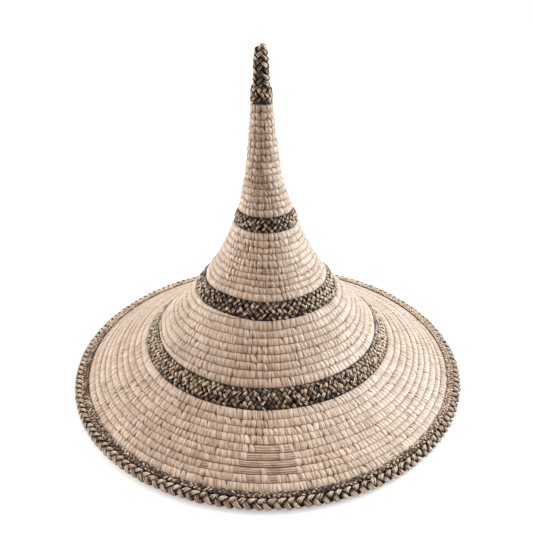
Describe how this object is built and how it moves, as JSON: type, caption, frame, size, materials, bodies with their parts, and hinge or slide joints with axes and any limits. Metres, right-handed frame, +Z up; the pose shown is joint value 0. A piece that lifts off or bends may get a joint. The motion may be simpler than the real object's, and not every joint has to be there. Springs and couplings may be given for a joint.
{
  "type": "conical hat",
  "caption": "Wide-brimmed conical hat of coiled straw with a tall pointed spire, flat dark braided bands and a plaited rim.",
  "frame": {"origin": "on the surface that the rim stands on, in the middle of the rim", "axes": "+Z up along the spire to its point; -Y is the side the hat is usually seen from, +X to its right"},
  "size_m": [0.45, 0.45, 0.356],
  "materials": {
    "straw_coil": "matte",
    "dark_leaf": "satin",
    "rim_leaf": "satin",
    "pale_leaf": "matte",
    "straw_bundle": "matte"
  },
  "bodies": {
    "root": {"tip_knot": "pale_leaf", "tip_braid": "dark_leaf", "tip_core": "straw_bundle", "spire_coil": "straw_coil", "neck_braid": "dark_leaf", "neck_stitching": "pale_leaf", "upper_crown_coil": "straw_coil", "crown_braid": "dark_leaf", "crown_stitching": "pale_leaf", "lower_crown_coil": "straw_coil", "shoulder_braid": "dark_leaf", "shoulder_stitching": "pale_leaf", "brim_coil": "straw_coil", "rim_braid": "dark_leaf", "rim_plait": "rim_leaf", "rim_core": "straw_bundle", "rim_stitching": "pale_leaf"}
  },
  "joints": []
}
